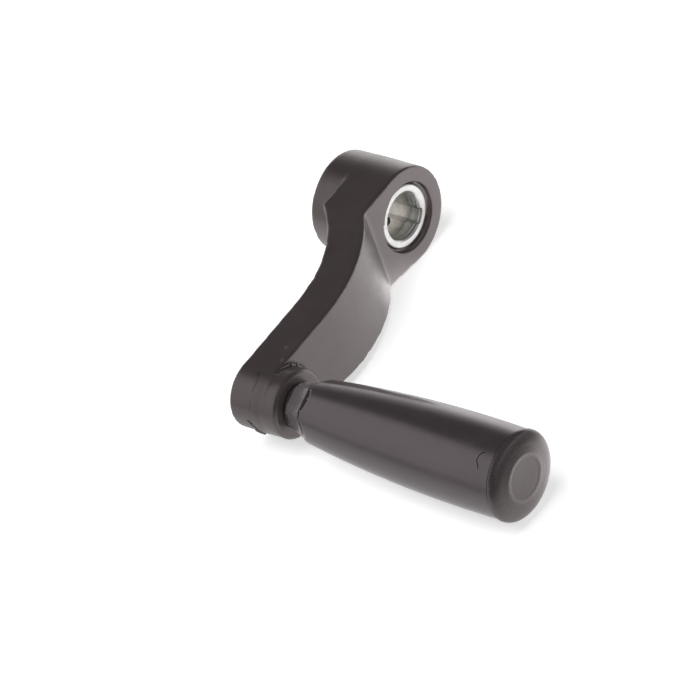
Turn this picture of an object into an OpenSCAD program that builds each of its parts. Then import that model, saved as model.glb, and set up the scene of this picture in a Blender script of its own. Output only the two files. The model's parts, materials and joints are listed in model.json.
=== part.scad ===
// Offset crank handle with a turning grip.
// Sizes are in millimetres. The pieces are drawn lying flat: u runs from the hub
// to the grip, w runs from the hub's back face towards the grip's free end, and
// crank_frame() then turns them so that the bore lies along Y and the grip
// points to -Y, with the crank lying on its side.

/* [Hub] */
// Outer radius of the hub
hub_r = 13.5; // [12.5:0.1:17]
// Length of the hub along the bore
hub_len = 21.4; // [18:0.1:27]
// How much narrower the hub is at its back face, as moulding draft
hub_draft = 0.2; // [0:0.05:0.5]
// Rounding of the hub's back edge
hub_edge_r = 0.6; // [0.2:0.1:1.5]
// Gap between the bush's ring face and the wall of the round pocket in front of it
recess_gap = 0.95; // [0.4:0.05:1.5]
// Depth from the hub's front face to the bush's ring face
recess_depth = 1.2; // [0.6:0.1:2.5]
// How far the ring face stands above the pocket's floor
ring_proud = 0.5; // [0.1:0.1:0.5]

/* [Hub bush] */
// Radius of the shaft bore
bore_r = 6; // [5:0.1:7.5]
// Wall of the bush
bush_wall = 2.45; // [2:0.05:3]
// Chamfer at the bore's front mouth
bore_chamfer = 0.8; // [0.3:0.1:1.2]
// Chamfer on the outer edge of the ring face
bush_edge = 0.3; // [0.1:0.1:0.4]
// Width of the keyway
keyway_w = 4; // [2:0.5:4]
// Depth of the keyway in the bore's wall
keyway_depth = 0.9; // [0.7:0.1:1.4]
// Direction of the keyway, turned from the arm
keyway_angle = 141; // [136:1:200]
// Depth of the two grooves that lock the bush in the hub
bush_groove_d = 0.6; // [0.2:0.1:0.8]
// Width of each locking groove
bush_groove_w = 2; // [1:0.1:2.5]
// Distance of each locking groove from the bush's nearer end
bush_groove_at = 4; // [3:0.1:5.5]

/* [Set screw] */
// Thread radius of the set screw
set_screw_r = 2; // [1.5:0.1:2]
// Length of the set screw
set_screw_len = 6; // [4:0.5:6.5]
// Direction of the set screw, turned from the arm
set_screw_angle = 100; // [92:1:102]
// How far the screw's tip stays back from the bore's wall
set_screw_back = 0.2; // [0.1:0.1:0.6]

/* [Arm] */
// Distance from the bore axis to the grip axis
throw = 67.5; // [60:0.5:90]
// Radius of the arm's round end at the grip
arm_end_r = 9.2; // [8.5:0.1:11]
// Height of the arm's back face beside the hub
plate_back = 8.3; // [6:0.1:10]
// Height of the arm's back face at the grip end
end_back = 23.5; // [20:0.1:30]
// Thickness of the arm at the grip end
end_thick = 10.7; // [9:0.1:13]
// Radius of the bend along the arm's back face
bend_r = 40; // [32:1:50]
// How far outside the hub's wall the bend leaves the flat back face
bend_back_gap = 0.8; // [0.2:0.1:3]
// How far inside the hub's wall the bend leaves the hub's flat front face
bend_front_inset = 0.3; // [0:0.1:1]
// Fillet in the corner between the hub's front face and the bend
crease_r = 3; // [1:0.5:5]

/* [Grip boss] */
// How much smaller the round boss that carries the grip is than the arm's end
boss_step = 0.2; // [0.1:0.1:1.5]
// Height of the boss above the arm's front face
boss_h = 4.3; // [2:0.1:7]
// Chamfer on the boss's front rim
boss_chamfer = 0.7; // [0.2:0.1:1]
// Radius of the groove round the boss's foot, where it rises from the arm's front face
foot_groove_r = 0.5; // [0.2:0.1:0.8]
// Depth of the shallow waist round the arm's end
waist_depth = 0.25; // [0.1:0.05:0.4]
// Radius of the waist's hollow
waist_r = 4; // [2:0.5:6]
// Distance from the arm's front face back to the deepest part of the waist
waist_back = 0.8; // [0.3:0.1:1.5]

/* [Axle] */
// Radius of the smooth shank that the grip turns on
shank_r = 4; // [3.6:0.1:4.8]
// Radius of the screw's threaded end
thread_r = 3; // [2.5:0.1:3.2]
// Length of the threaded end
thread_len = 11; // [8:0.5:12]
// Radius of the screw's head
head_r = 6; // [5.6:0.1:7.2]
// Height of the screw's head
head_h = 5; // [3:0.5:5.5]
// Width across the flats of the head's hexagon socket
head_socket_w = 5; // [4:0.5:6]
// How far the washer under the head stands out past the head
washer_lip = 1; // [0.5:0.1:1.4]
// Thickness of the washer
washer_t = 1; // [0.8:0.1:1.5]
// Wall of the threaded insert in the arm's end
insert_wall = 2; // [1.6:0.1:3]
// How far the threaded insert reaches past the screw's end
insert_tail = 1.5; // [0.5:0.1:2]
// Depth and half width of the insert's locking groove
insert_groove = 0.5; // [0.2:0.1:0.8]

/* [Grip] */
// Length of the grip from its neck to the end cap's seam
grip_len = 68.8; // [60:0.1:85]
// Largest radius of the grip
grip_r = 11.5; // [10.8:0.05:13]
// Radius of the curve along the grip's side
swell_r = 400; // [360:5:520]
// Distance from the neck's end face to the widest place
swell_at = 57; // [50:0.1:60]
// Wall between the shank's hole and the flats where the hexagonal neck starts
neck_wall = 1.25; // [1:0.05:2]
// How much wider the neck is across its rounded corners than across its flats
neck_round = 1.1; // [1.04:0.01:1.12]
// How far the grip stands turned about its axis
neck_turn = -5; // [-30:1:30]
// Length of the neck's six flats along the grip
neck_len = 5.7; // [4:0.1:9]
// Slope of the flats away from the grip axis
neck_slope = 16.5; // [12:0.5:20]
// Slope of the short runout where the flats end in the round grip
neck_runout = 32; // [26:1:50]
// Gap round the washer in the hollow that holds the screw's head
head_room_gap = 0.5; // [0.3:0.1:1]
// Depth of that hollow from the end cap's seam
head_room_len = 12; // [11:0.1:16]
// Bevel of the grip's rim at the end cap's seam
grip_rim_bevel = 0.3; // [0.1:0.1:0.6]

/* [End cap] */
// How far the end cap's edge stands out past the grip's rim
cap_lip = 0.27; // [0.1:0.01:0.6]
// Height of the end cap above its seam
cap_h = 2.4; // [2:0.1:4]
// Height of the cap's straight edge, below its rounded rim
cap_edge_h = 0.2; // [0.1:0.1:0.5]
// Height of the cap's edge and rounded rim together
cap_rim_h = 1; // [0.6:0.1:1.4]
// Width of the cap's rounded rim
cap_rim_w = 2.3; // [1:0.1:3]
// Radius of the crest of the raised ring
ring_r = 6; // [5:0.1:7]
// Half the width of the raised ring
ring_half_w = 0.75; // [0.4:0.05:1.2]
// Height of the raised ring above the cap's face
ring_h = 0.4; // [0.2:0.05:0.6]
// Depth of the dished middle below the ring's crest
dish_d = 0.75; // [0.5:0.05:1]
// Width of the slope from the ring down to the dished middle
dish_slope = 0.45; // [0.2:0.05:1]
// Length of the plug that snaps into the grip
plug_len = 4.6; // [3.5:0.1:5]
// Wall of the plug
plug_wall = 1; // [0.8:0.1:1.1]
// Height of the plug's snap bead
snap_h = 0.3; // [0.1:0.05:0.4]

/* [Fits] */
// Radial clearance of the grip on the shank
running_fit = 0.05; // [0.03:0.01:0.1]
// Gap between the turning grip and the boss's face
neck_gap = 0.3; // [0.2:0.05:0.5]
// Gap between the washer and the grip's inner shoulder
washer_gap = 0.2; // [0.1:0.05:0.4]
// Radial clearance of screws in their threads
thread_fit = 0.05; // [0.02:0.01:0.1]
// Radial clearance of the cap's plug in the grip
plug_fit = 0.05; // [0.03:0.01:0.1]
// Radial clearance of the set screw's hole through the hub
screw_way = 0.2; // [0.1:0.05:0.3]

/* [Hidden] */
$fn = 60;
swell_facets = 420;
eps = 0.01;
margin = 1;
reach = 200;

bush_r = bore_r + bush_wall;
recess_r = bush_r + recess_gap;
keyway_reach = bore_r + keyway_depth;
boss_r = arm_end_r - boss_step;
insert_r = thread_r + insert_wall;
insert_len = thread_len + insert_tail;
washer_r = head_r + washer_lip;
head_room_r = washer_r + head_room_gap;
neck_flat = shank_r + running_fit + neck_wall;
grip_end_r = grip_r - swell_r + run_of_arc(swell_r, grip_len - swell_at);
cap_r = grip_end_r + cap_lip;

ring_face = hub_len - recess_depth;
end_front = end_back + end_thick;
boss_face = end_front + boss_h;
neck_face = boss_face + neck_gap;
seam = neck_face + grip_len;
shoulder = seam - head_room_len;
washer_back = shoulder + washer_gap;
head_back = washer_back + washer_t;

// The bend's two faces are arcs whose tops touch the grip end's flat faces
bend_start_back = hub_r + bend_back_gap;
bend_start_front = hub_r - bend_front_inset;
front_bend_r = bend_r + end_thick;
back_bend_w = end_back - bend_r;
front_bend_w = end_front - front_bend_r;
back_bend_u = bend_start_back + run_of_arc(bend_r, plate_back - back_bend_w);
front_bend_u = bend_start_front + run_of_arc(front_bend_r, hub_len - front_bend_w);

// Tangent lines from the hub to the round end give the arm's tapered sides, and
// side_sink draws them in a hair so that they cross both circles cleanly
side_sin = (hub_r - arm_end_r) / throw;
side_cos = sqrt(1 - side_sin * side_sin);
side_sink = 0.02;

// The neck's rounded corners run out a little past its flats, so that their edges
// don't meet at one height
corner_lag = 0.15;

// The waist is a ring cut set off from the grip axis, so that it fades out towards
// the arm's sides; waist_fade keeps its ends clear of the places where they begin
waist_fade = 0.03;
waist_offset = waist_depth + waist_fade;

// Half the length of an arc's chord, where the arc's centre lies h below it
function run_of_arc(r, h) = sqrt(r * r - h * h);

// Lays the crank on its side: the bore along Y, the grip towards -Y
module crank_frame() {
    rotate([0, 180, 0])
        rotate([90, 0, 0])
            children();
}

module at_grip_axis(w = 0) {
    translate([throw, 0, w])
        children();
}

// A ring to cut a groove with, centred at height w
module groove_cutter(outer_r, depth, width, w) {
    translate([0, 0, w - width / 2])
        difference() {
            cylinder(r = outer_r + margin, h = width);
            translate([0, 0, -eps])
                cylinder(r = outer_r - depth, h = width + 2 * eps);
        }
}

// The arm seen from the front: hub, round end and the tangent lines between
module arm_outline() {
    hub_side = hub_r - side_sink;
    end_side = arm_end_r - side_sink;
    circle(r = hub_r);
    translate([throw, 0])
        circle(r = arm_end_r);
    polygon([
        [hub_side * side_sin, hub_side * side_cos],
        [hub_side * side_sin, -hub_side * side_cos],
        [throw + end_side * side_sin, -end_side * side_cos],
        [throw + end_side * side_sin, end_side * side_cos]
    ]);
}

// Everything below the arm's front face, seen from the side
module below_front() {
    translate([-reach, -reach])
        square([reach + bend_start_front, reach + hub_len]);
    intersection() {
        translate([front_bend_u, front_bend_w])
            circle(r = front_bend_r);
        translate([bend_start_front - eps, front_bend_w])
            square([front_bend_u - bend_start_front + 2 * eps, front_bend_r + margin]);
    }
    translate([front_bend_u, -reach])
        square([reach, reach + end_front]);
    translate([bend_start_front - eps, -reach])
        square([front_bend_u - bend_start_front + 2 * eps, reach + front_bend_w + eps]);
    crease_fillet();
}

// Everything below the arm's back face, seen from the side
module below_back() {
    translate([-reach, -reach])
        square([reach + bend_start_back, reach + plate_back]);
    intersection() {
        translate([back_bend_u, back_bend_w])
            circle(r = bend_r);
        translate([bend_start_back - eps, back_bend_w])
            square([back_bend_u - bend_start_back + 2 * eps, bend_r + margin]);
    }
    translate([back_bend_u, -reach])
        square([reach, reach + end_back]);
    translate([bend_start_back - eps, -reach])
        square([back_bend_u - bend_start_back + 2 * eps, reach + back_bend_w + eps]);
}

// Fills the corner between the hub's front face and the bend with a round
module crease_fillet() {
    fillet_w = hub_len + crease_r;
    fillet_u = front_bend_u - run_of_arc(front_bend_r + crease_r, fillet_w - front_bend_w);
    touch = front_bend_r / (front_bend_r + crease_r);
    touch_u = front_bend_u + (fillet_u - front_bend_u) * touch;
    touch_w = front_bend_w + (fillet_w - front_bend_w) * touch;
    difference() {
        polygon([
            [fillet_u, fillet_w],
            [fillet_u, hub_len - eps],
            [bend_start_front + margin, hub_len - eps],
            [touch_u, touch_w]
        ]);
        translate([fillet_u, fillet_w])
            circle(r = crease_r);
    }
}

// The cranked plate: the outline cut to the side view's two faces
module cranked_plate() {
    intersection() {
        linear_extrude(height = end_front + margin)
            arm_outline();
        rotate([90, 0, 0])
            linear_extrude(height = 4 * hub_r, center = true)
                difference() {
                    below_front();
                    below_back();
                }
    }
}

// The hub's back part, which stands behind the plate
module hub_back() {
    back_r = hub_r - hub_draft;
    rotate_extrude() {
        polygon([
            [0, 0],
            [back_r - hub_edge_r, 0],
            [back_r, hub_edge_r],
            [hub_r, plate_back],
            [0, plate_back]
        ]);
        intersection() {
            translate([back_r - hub_edge_r, hub_edge_r])
                circle(r = hub_edge_r);
            square([hub_r, hub_edge_r]);
        }
    }
}

module grip_boss() {
    at_grip_axis()
        rotate_extrude()
            polygon([
                [0, end_front - margin],
                [boss_r, end_front - margin],
                [boss_r, boss_face - boss_chamfer],
                [boss_r - boss_chamfer, boss_face],
                [0, boss_face]
            ]);
}

// The groove where the boss rises from the arm's front face, on the hub's side
module foot_groove() {
    at_grip_axis(end_front)
        intersection() {
            rotate_extrude()
                translate([arm_end_r, 0])
                    circle(r = foot_groove_r, $fn = 24);
            translate([-reach, -reach, -margin])
                cube([reach, 2 * reach, 2 * margin]);
        }
}

// The shallow waist round the arm's end, on the side away from the hub
module end_waist() {
    at_grip_axis(end_front - waist_back)
        intersection() {
            translate([-waist_offset, 0, 0])
                rotate_extrude()
                    translate([arm_end_r + waist_fade + waist_r, 0])
                        circle(r = waist_r);
            translate([0, -reach, -waist_r])
                cube([reach, 2 * reach, 2 * waist_r]);
        }
}

// The bush without its bore and cross hole, as the hub is moulded round it
module bush_outside() {
    difference() {
        cylinder(r = bush_r, h = ring_face);
        for (w = [bush_groove_at, ring_face - bush_groove_at])
            groove_cutter(bush_r, bush_groove_d, bush_groove_w, w);
    }
}

// The threaded insert without its hole, as the arm's end is moulded round it
module insert_outside() {
    difference() {
        at_grip_axis(boss_face - insert_len)
            cylinder(r = insert_r, h = insert_len);
        at_grip_axis()
            groove_cutter(insert_r, insert_groove, 2 * insert_groove, boss_face - insert_len / 2);
    }
}

// A hole or rod of the set screw's kind, from one distance off the bore to another
module along_set_screw(r, from, to) {
    rotate([0, 0, set_screw_angle])
        translate([from, 0, ring_face / 2])
            rotate([0, 90, 0])
                cylinder(r = r, h = to - from);
}

module arm() {
    color([0.2, 0.19, 0.19])
        difference() {
            union() {
                cranked_plate();
                hub_back();
                grip_boss();
            }
            foot_groove();
            end_waist();
            bush_outside();
            translate([0, 0, ring_face - ring_proud])
                cylinder(r = recess_r, h = recess_depth + ring_proud + margin);
            translate([0, 0, -eps])
                cylinder(r = bush_r - bush_groove_d - eps, h = hub_len);
            insert_outside();
            along_set_screw(set_screw_r + screw_way, bush_r - bush_groove_d, hub_r + margin);
        }
}

module hub_bush() {
    color([0.8, 0.8, 0.78])
        difference() {
            bush_outside();
            translate([0, 0, -margin])
                cylinder(r = bore_r, h = hub_len + 2 * margin);
            translate([0, 0, ring_face - bore_chamfer])
                cylinder(r1 = bore_r, r2 = bore_r + bore_chamfer + eps, h = bore_chamfer + eps);
            rotate_extrude()
                polygon([
                    [bush_r - bush_edge - margin, ring_face + margin],
                    [bush_r + margin, ring_face - bush_edge - margin],
                    [bush_r + margin, ring_face + margin]
                ]);
            rotate([0, 0, keyway_angle])
                translate([0, -keyway_w / 2, -margin])
                    cube([keyway_reach, keyway_w, hub_len + 2 * margin]);
            along_set_screw(set_screw_r, 0, bush_r + margin);
        }
}

module set_screw() {
    tip = bore_r + set_screw_back;
    tail = tip + set_screw_len;
    socket_w = set_screw_r;
    color([0.16, 0.16, 0.17])
        difference() {
            along_set_screw(set_screw_r - thread_fit, tip, tail);
            rotate([0, 0, set_screw_angle])
                translate([tail - set_screw_len / 2, 0, ring_face / 2])
                    rotate([0, 90, 0])
                        cylinder(d = socket_w / cos(30), h = set_screw_len, $fn = 6);
        }
}

module threaded_insert() {
    color([0.75, 0.62, 0.35])
        difference() {
            insert_outside();
            at_grip_axis(boss_face - insert_len - margin)
                cylinder(r = thread_r, h = insert_len + 2 * margin);
        }
}

module axle_screw() {
    color([0.7, 0.7, 0.7])
        at_grip_axis()
            difference() {
                union() {
                    translate([0, 0, boss_face - thread_len])
                        cylinder(r = thread_r - thread_fit, h = thread_len + margin);
                    translate([0, 0, boss_face])
                        cylinder(r = shank_r, h = head_back - boss_face + margin);
                    translate([0, 0, head_back])
                        cylinder(r = head_r, h = head_h);
                }
                translate([0, 0, head_back + head_h / 2])
                    cylinder(d = head_socket_w / cos(30), h = head_h, $fn = 6);
            }
}

module axle_washer() {
    color([0.7, 0.7, 0.7])
        at_grip_axis(washer_back)
            difference() {
                cylinder(r = washer_r, h = washer_t);
                translate([0, 0, -margin])
                    cylinder(r = shank_r + 2 * running_fit, h = washer_t + 2 * margin);
            }
}

// Everything outside the neck's sloping side and its short steeper runout
module outside_neck(len = neck_len, widen = 1) {
    flat_end = neck_flat + len * tan(neck_slope);
    runout_w = (2 * grip_r - flat_end) / tan(neck_runout);
    polygon([
        [widen * (neck_flat - margin * tan(neck_slope)), -margin],
        [widen * flat_end, len],
        [widen * 2 * grip_r, len + runout_w],
        [widen * 2 * grip_r, -margin]
    ]);
}

// Half of the grip's section: the neck's rounded corners, then one long arc that is
// widest near the free end
module grip_section() {
    difference() {
        intersection() {
            translate([grip_r - swell_r, swell_at])
                circle(r = swell_r, $fn = swell_facets);
            square([2 * grip_r, grip_len]);
        }
        outside_neck(neck_len + corner_lag, neck_round);
    }
}

// Six sloping flats turn the grip's round start into a hexagonal neck
module neck_flats() {
    for (turn = [0:60:300])
        rotate([90, 0, turn + neck_turn])
            linear_extrude(height = 3 * grip_r, center = true)
                outside_neck();
}

// The snap groove in the grip, and the bead on the cap's plug that fills it
module snap_ring(inner_r, height, w) {
    translate([0, 0, w])
        rotate_extrude()
            polygon([
                [inner_r - margin, -height],
                [inner_r, -height],
                [inner_r + height, 0],
                [inner_r, height],
                [inner_r - margin, height]
            ]);
}

module grip() {
    rim = grip_len - grip_rim_bevel;
    color([0.13, 0.12, 0.12])
        at_grip_axis(neck_face)
            difference() {
                rotate_extrude()
                    grip_section();
                neck_flats();
                translate([0, 0, rim])
                    difference() {
                        cylinder(r = grip_r + margin, h = margin);
                        translate([0, 0, -eps])
                            cylinder(r1 = grip_end_r, r2 = grip_end_r - margin, h = margin + 2 * eps);
                    }
                translate([0, 0, -margin])
                    cylinder(r = shank_r + running_fit, h = grip_len + 2 * margin);
                translate([0, 0, grip_len - head_room_len])
                    cylinder(r = head_room_r, h = head_room_len + margin);
                snap_ring(head_room_r, snap_h, grip_len - plug_len / 2);
            }
}

// Half of the cap's section: rounded rim, gentle dome, raised ring, dished middle
module cap_section() {
    face_r = cap_r - cap_rim_w;
    foot_h = cap_h - ring_h;
    floor_h = cap_h - dish_d;
    polygon([
        [0, 0],
        [cap_r, 0],
        for (turn = [0:15:90])
            [face_r + cap_rim_w * cos(turn), cap_edge_h + (cap_rim_h - cap_edge_h) * sin(turn)],
        for (turn = [-90:15:90])
            [ring_r - ring_half_w * turn / 90, foot_h + ring_h * cos(turn)],
        [ring_r - ring_half_w - dish_slope, floor_h],
        [0, floor_h]
    ]);
}

module end_cap() {
    plug_r = head_room_r - plug_fit;
    color([0.15, 0.14, 0.14])
        at_grip_axis(seam)
            difference() {
                union() {
                    rotate_extrude()
                        cap_section();
                    translate([0, 0, -plug_len])
                        cylinder(r = plug_r, h = plug_len + eps);
                    snap_ring(plug_r, snap_h, -plug_len / 2);
                }
                translate([0, 0, -plug_len - margin])
                    cylinder(r = plug_r - plug_wall, h = plug_len + margin);
            }
}

crank_frame() arm();
crank_frame() hub_bush();
crank_frame() set_screw();
crank_frame() threaded_insert();
crank_frame() axle_screw();
crank_frame() axle_washer();
crank_frame() grip();
crank_frame() end_cap();
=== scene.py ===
import json
import math
import random

import bmesh
import bpy
from mathutils import Matrix, Vector, noise
from mathutils.kdtree import KDTree


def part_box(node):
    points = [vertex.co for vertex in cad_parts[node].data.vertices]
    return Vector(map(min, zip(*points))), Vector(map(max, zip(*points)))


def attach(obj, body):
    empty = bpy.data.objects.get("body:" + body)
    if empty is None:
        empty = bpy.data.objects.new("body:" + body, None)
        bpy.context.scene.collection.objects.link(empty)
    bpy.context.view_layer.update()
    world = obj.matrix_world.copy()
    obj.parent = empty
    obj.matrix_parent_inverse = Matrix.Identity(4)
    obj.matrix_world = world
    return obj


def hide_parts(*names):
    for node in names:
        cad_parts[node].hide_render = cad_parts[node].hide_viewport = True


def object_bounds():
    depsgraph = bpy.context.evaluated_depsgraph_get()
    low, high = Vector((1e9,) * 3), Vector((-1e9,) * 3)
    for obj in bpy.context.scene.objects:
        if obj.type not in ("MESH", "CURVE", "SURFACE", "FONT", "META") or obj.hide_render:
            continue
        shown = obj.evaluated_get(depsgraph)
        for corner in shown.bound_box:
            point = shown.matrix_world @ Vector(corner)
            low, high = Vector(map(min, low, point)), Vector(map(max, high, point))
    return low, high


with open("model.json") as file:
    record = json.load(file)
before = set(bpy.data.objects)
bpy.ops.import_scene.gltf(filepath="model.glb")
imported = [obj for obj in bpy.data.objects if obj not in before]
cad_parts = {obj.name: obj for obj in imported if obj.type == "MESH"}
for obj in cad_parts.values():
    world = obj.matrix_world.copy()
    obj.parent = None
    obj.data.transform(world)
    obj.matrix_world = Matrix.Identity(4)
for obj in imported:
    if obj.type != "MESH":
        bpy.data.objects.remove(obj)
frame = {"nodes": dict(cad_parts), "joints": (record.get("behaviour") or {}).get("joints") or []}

cad_low, cad_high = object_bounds()
MM = 0.001

# Places taken from the frame
grip_low, grip_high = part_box("grip")
cap_low, cap_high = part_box("end_cap")
bush_low, bush_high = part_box("hub_bush")
AXIS_X, _, AXIS_Z = frame["joints"][0]["pos_m"]
NECK_Y = grip_high.y
SEAM_Y = grip_low.y
GRIP_LEN = NECK_Y - SEAM_Y
CAP_H = SEAM_Y - cap_low.y
RING_Y = bush_low.y
BUSH_LEN = bush_high.y - bush_low.y

# Sizes that the construction gives to the pieces
HUB_R = 13.5 * MM
ARM_END_R = 9.2 * MM
END_FRONT = 34.2 * MM
BUSH_R = 8.45 * MM
CAP_RING_R = 6.0 * MM

# Edges of the construction that turn by more than this are its sharp ones
SHARP_EDGE = math.radians(28)
# Share of a ridge's width that is left at its two ends, and across its flat top
RIDGE_END = 0.25
RIDGE_TOP = 0.4
# How uneven a lump is, how fine its bumps are, and how far apart lumps may lie in the noise
LUMP_UNEVEN = 0.35
LUMP_FINENESS = 1.6
LUMP_SHIFT = 50


# Mesh helpers

def place_piece(name, mesh, material, body, replaced=(), sharp_deg=38):
    """Links a smooth-shaded mesh as a piece that rides on a body and takes the given material."""
    piece = bpy.data.objects.new(name, mesh)
    bpy.context.scene.collection.objects.link(piece)
    mesh.materials.clear()
    mesh.materials.append(material)
    for face in mesh.polygons:
        face.use_smooth = True
    mesh.set_sharp_from_angle(angle=math.radians(sharp_deg))
    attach(piece, body)
    if replaced:
        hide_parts(*replaced)
    return piece


def outward_mesh(name, verts, faces):
    """A closed mesh whose faces all point outwards."""
    bm = bmesh.new()
    points = [bm.verts.new(place) for place in verts]
    for face in faces:
        bm.faces.new([points[i] for i in face])
    bmesh.ops.recalc_face_normals(bm, faces=bm.faces)
    mesh = bpy.data.meshes.new(name)
    bm.to_mesh(mesh)
    bm.free()
    return mesh


def loft(rings, closed, capped=False):
    """Faces between rings that hold the same number of points."""
    count = len(rings[0])
    verts = [point for ring in rings for point in ring]
    faces = []
    steps = len(rings) if closed else len(rings) - 1
    for i in range(steps):
        a = i * count
        b = ((i + 1) % len(rings)) * count
        for k in range(count):
            m = (k + 1) % count
            faces.append((a + k, a + m, b + m, b + k))
    if capped:
        faces.append(tuple(range(count)))
        faces.append(tuple(range(len(verts) - count, len(verts))))
    return verts, faces


def evenly(start, end, count):
    """Values from start to end in a number of equal steps."""
    return [start + (end - start) * i / count for i in range(count + 1)]


def spaced(start, end, step):
    """Values from start to end in equal steps of about the given size."""
    return evenly(start, end, max(1, round((end - start) / step)))


def soft_min(a, b, blend):
    """The smaller of two values, rounded over where they are within blend of each other."""
    share = max(0.0, blend - abs(a - b)) / blend
    return min(a, b) - share * share * blend / 4


def join_shells(shells):
    """Vertices and faces of several closed shells as one list each."""
    verts, faces = [], []
    for shell_verts, shell_faces in shells:
        start = len(verts)
        verts.extend(shell_verts)
        faces.extend(tuple(i + start for i in face) for face in shell_faces)
    return verts, faces


def about_grip(radius, turn, along):
    """A point round the grip axis: turn 0 faces away from the hub, along runs from the neck."""
    return Vector((
        AXIS_X - radius * math.cos(turn),
        NECK_Y - along,
        AXIS_Z + radius * math.sin(turn),
    ))


def on_end(lean_deg, height_mm, radius_mm):
    """A point round the grip axis: lean from the top towards the free side, height from the hub's back."""
    lean = math.radians(lean_deg)
    return Vector((
        AXIS_X - radius_mm * MM * math.sin(lean),
        -height_mm * MM,
        AXIS_Z + radius_mm * MM * math.cos(lean),
    ))


def ridge(path, outward, half_width, height, sink=0.15 * MM):
    """A thin closed ridge along a path on a surface, pointed at both ends."""
    rings = []
    last = len(path) - 1
    for i, place in enumerate(path):
        ahead = path[min(i + 1, last)] - path[max(i - 1, 0)]
        up = outward[i].normalized()
        side = up.cross(ahead).normalized()
        taper = RIDGE_END if i in (0, last) else 1.0
        rings.append([
            place - side * half_width * taper,
            place - side * half_width * RIDGE_TOP * taper + up * height * taper,
            place + side * half_width * RIDGE_TOP * taper + up * height * taper,
            place + side * half_width * taper,
            place - up * sink,
        ])
    return loft(rings, closed=False, capped=True)


def smooth_path(points, steps):
    """Points along a smooth curve through the given ones, with a number of steps between two of them."""
    result = []
    last = len(points) - 1
    for i in range(last):
        before, start = points[max(i - 1, 0)], points[i]
        end, after = points[i + 1], points[min(i + 2, last)]
        for k in range(steps):
            t = k / steps
            result.append(tuple(
                0.5 * (2 * b + (c - a) * t + (2 * a - 5 * b + 4 * c - d) * t * t
                       + (3 * b - a - 3 * c + d) * t * t * t)
                for a, b, c, d in zip(before, start, end, after)))
    result.append(tuple(points[-1]))
    return result


def lump(place, size, chance):
    """A small uneven lump."""
    bm = bmesh.new()
    bmesh.ops.create_icosphere(bm, subdivisions=2, radius=1)
    shift = Vector([chance.uniform(0, LUMP_SHIFT) for axis in range(3)])
    verts = []
    for vert in bm.verts:
        grow = 1 + LUMP_UNEVEN * noise.noise(vert.co * LUMP_FINENESS + shift)
        verts.append(place + vert.co * size * grow)
    faces = [tuple(v.index for v in face.verts) for face in bm.faces]
    bm.free()
    return verts, faces


def evaluated_mesh(piece):
    """The piece's mesh with its modifiers applied."""
    graph = bpy.context.evaluated_depsgraph_get()
    return bpy.data.meshes.new_from_object(piece.evaluated_get(graph))


def even_copy(node, cell):
    """The node's solid as a fine mesh of even cells."""
    source = bpy.data.objects.new(node + "_source", frame["nodes"][node].data.copy())
    bpy.context.scene.collection.objects.link(source)
    even = source.modifiers.new("even", "REMESH")
    even.mode = "VOXEL"
    even.voxel_size = cell
    mesh = evaluated_mesh(source)
    bpy.data.objects.remove(source)
    return mesh


def edge_points(node, chosen, step):
    """A search tree of points along the node's chosen sharp edges."""
    bm = bmesh.new()
    bm.from_mesh(frame["nodes"][node].data)
    bmesh.ops.remove_doubles(bm, verts=bm.verts, dist=1e-6)
    points = []
    for edge in bm.edges:
        if edge.is_manifold and edge.calc_face_angle() > SHARP_EDGE and chosen(edge):
            start, end = (vert.co for vert in edge.verts)
            count = max(1, round((end - start).length / step))
            points += [start.lerp(end, i / count) for i in range(count + 1)]
    bm.free()
    tree = KDTree(len(points))
    for i, point in enumerate(points):
        tree.insert(point, i)
    tree.balance()
    return tree


def soften(piece, weights, factor, repeat):
    """Smooths the piece's mesh, each point by its own weight."""
    group = piece.vertex_groups.new(name="softness")
    for i, weight in enumerate(weights):
        group.add([i], weight, "REPLACE")
    smooth = piece.modifiers.new("soften", "SMOOTH")
    smooth.factor = factor
    smooth.iterations = repeat
    smooth.vertex_group = group.name
    mesh = evaluated_mesh(piece)
    piece.modifiers.clear()
    piece.vertex_groups.clear()
    piece.data = mesh


# Material helpers

# Scale and detail of the black plastic's clouds of tone, patches of gloss, waves and grain
PLASTIC_CLOUDS = (90, 3)
PLASTIC_PATCHES = (260, 5)
PLASTIC_WAVES = (120, 2)
PLASTIC_GRAIN = (2600, 3)
PLASTIC_WAVE_HEIGHT = 0.3 * MM
PLASTIC_WAVE_STRENGTH = 0.08
PLASTIC_GRAIN_HEIGHT = 0.02 * MM
# The same for the metals' streaks, with the roughness of their noise
METAL_STREAKS = (900, 4, 0.6)
METAL_STREAK_HEIGHT = 0.03 * MM
METAL_STREAK_STRENGTH = 0.3
# A spot keeps its full strength out to this share of its reach
SPOT_FULL = 0.2


def shader(name):
    """A new node material, its node tree and its main shader."""
    material = bpy.data.materials.new(name)
    material.use_nodes = True
    tree = material.node_tree
    return material, tree, tree.nodes["Principled BSDF"]


def object_place(tree):
    return tree.nodes.new("ShaderNodeTexCoord").outputs["Object"]


def noise_node(tree, scale, detail=4.0, rough=0.5, stretch=(1, 1, 1)):
    """Noise over the piece, from 0 to 1."""
    mapping = tree.nodes.new("ShaderNodeMapping")
    mapping.inputs["Scale"].default_value = stretch
    texture = tree.nodes.new("ShaderNodeTexNoise")
    texture.inputs["Scale"].default_value = scale
    texture.inputs["Detail"].default_value = detail
    texture.inputs["Roughness"].default_value = rough
    tree.links.new(object_place(tree), mapping.inputs["Vector"])
    tree.links.new(mapping.outputs["Vector"], texture.inputs["Vector"])
    return texture.outputs["Fac"]


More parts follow.
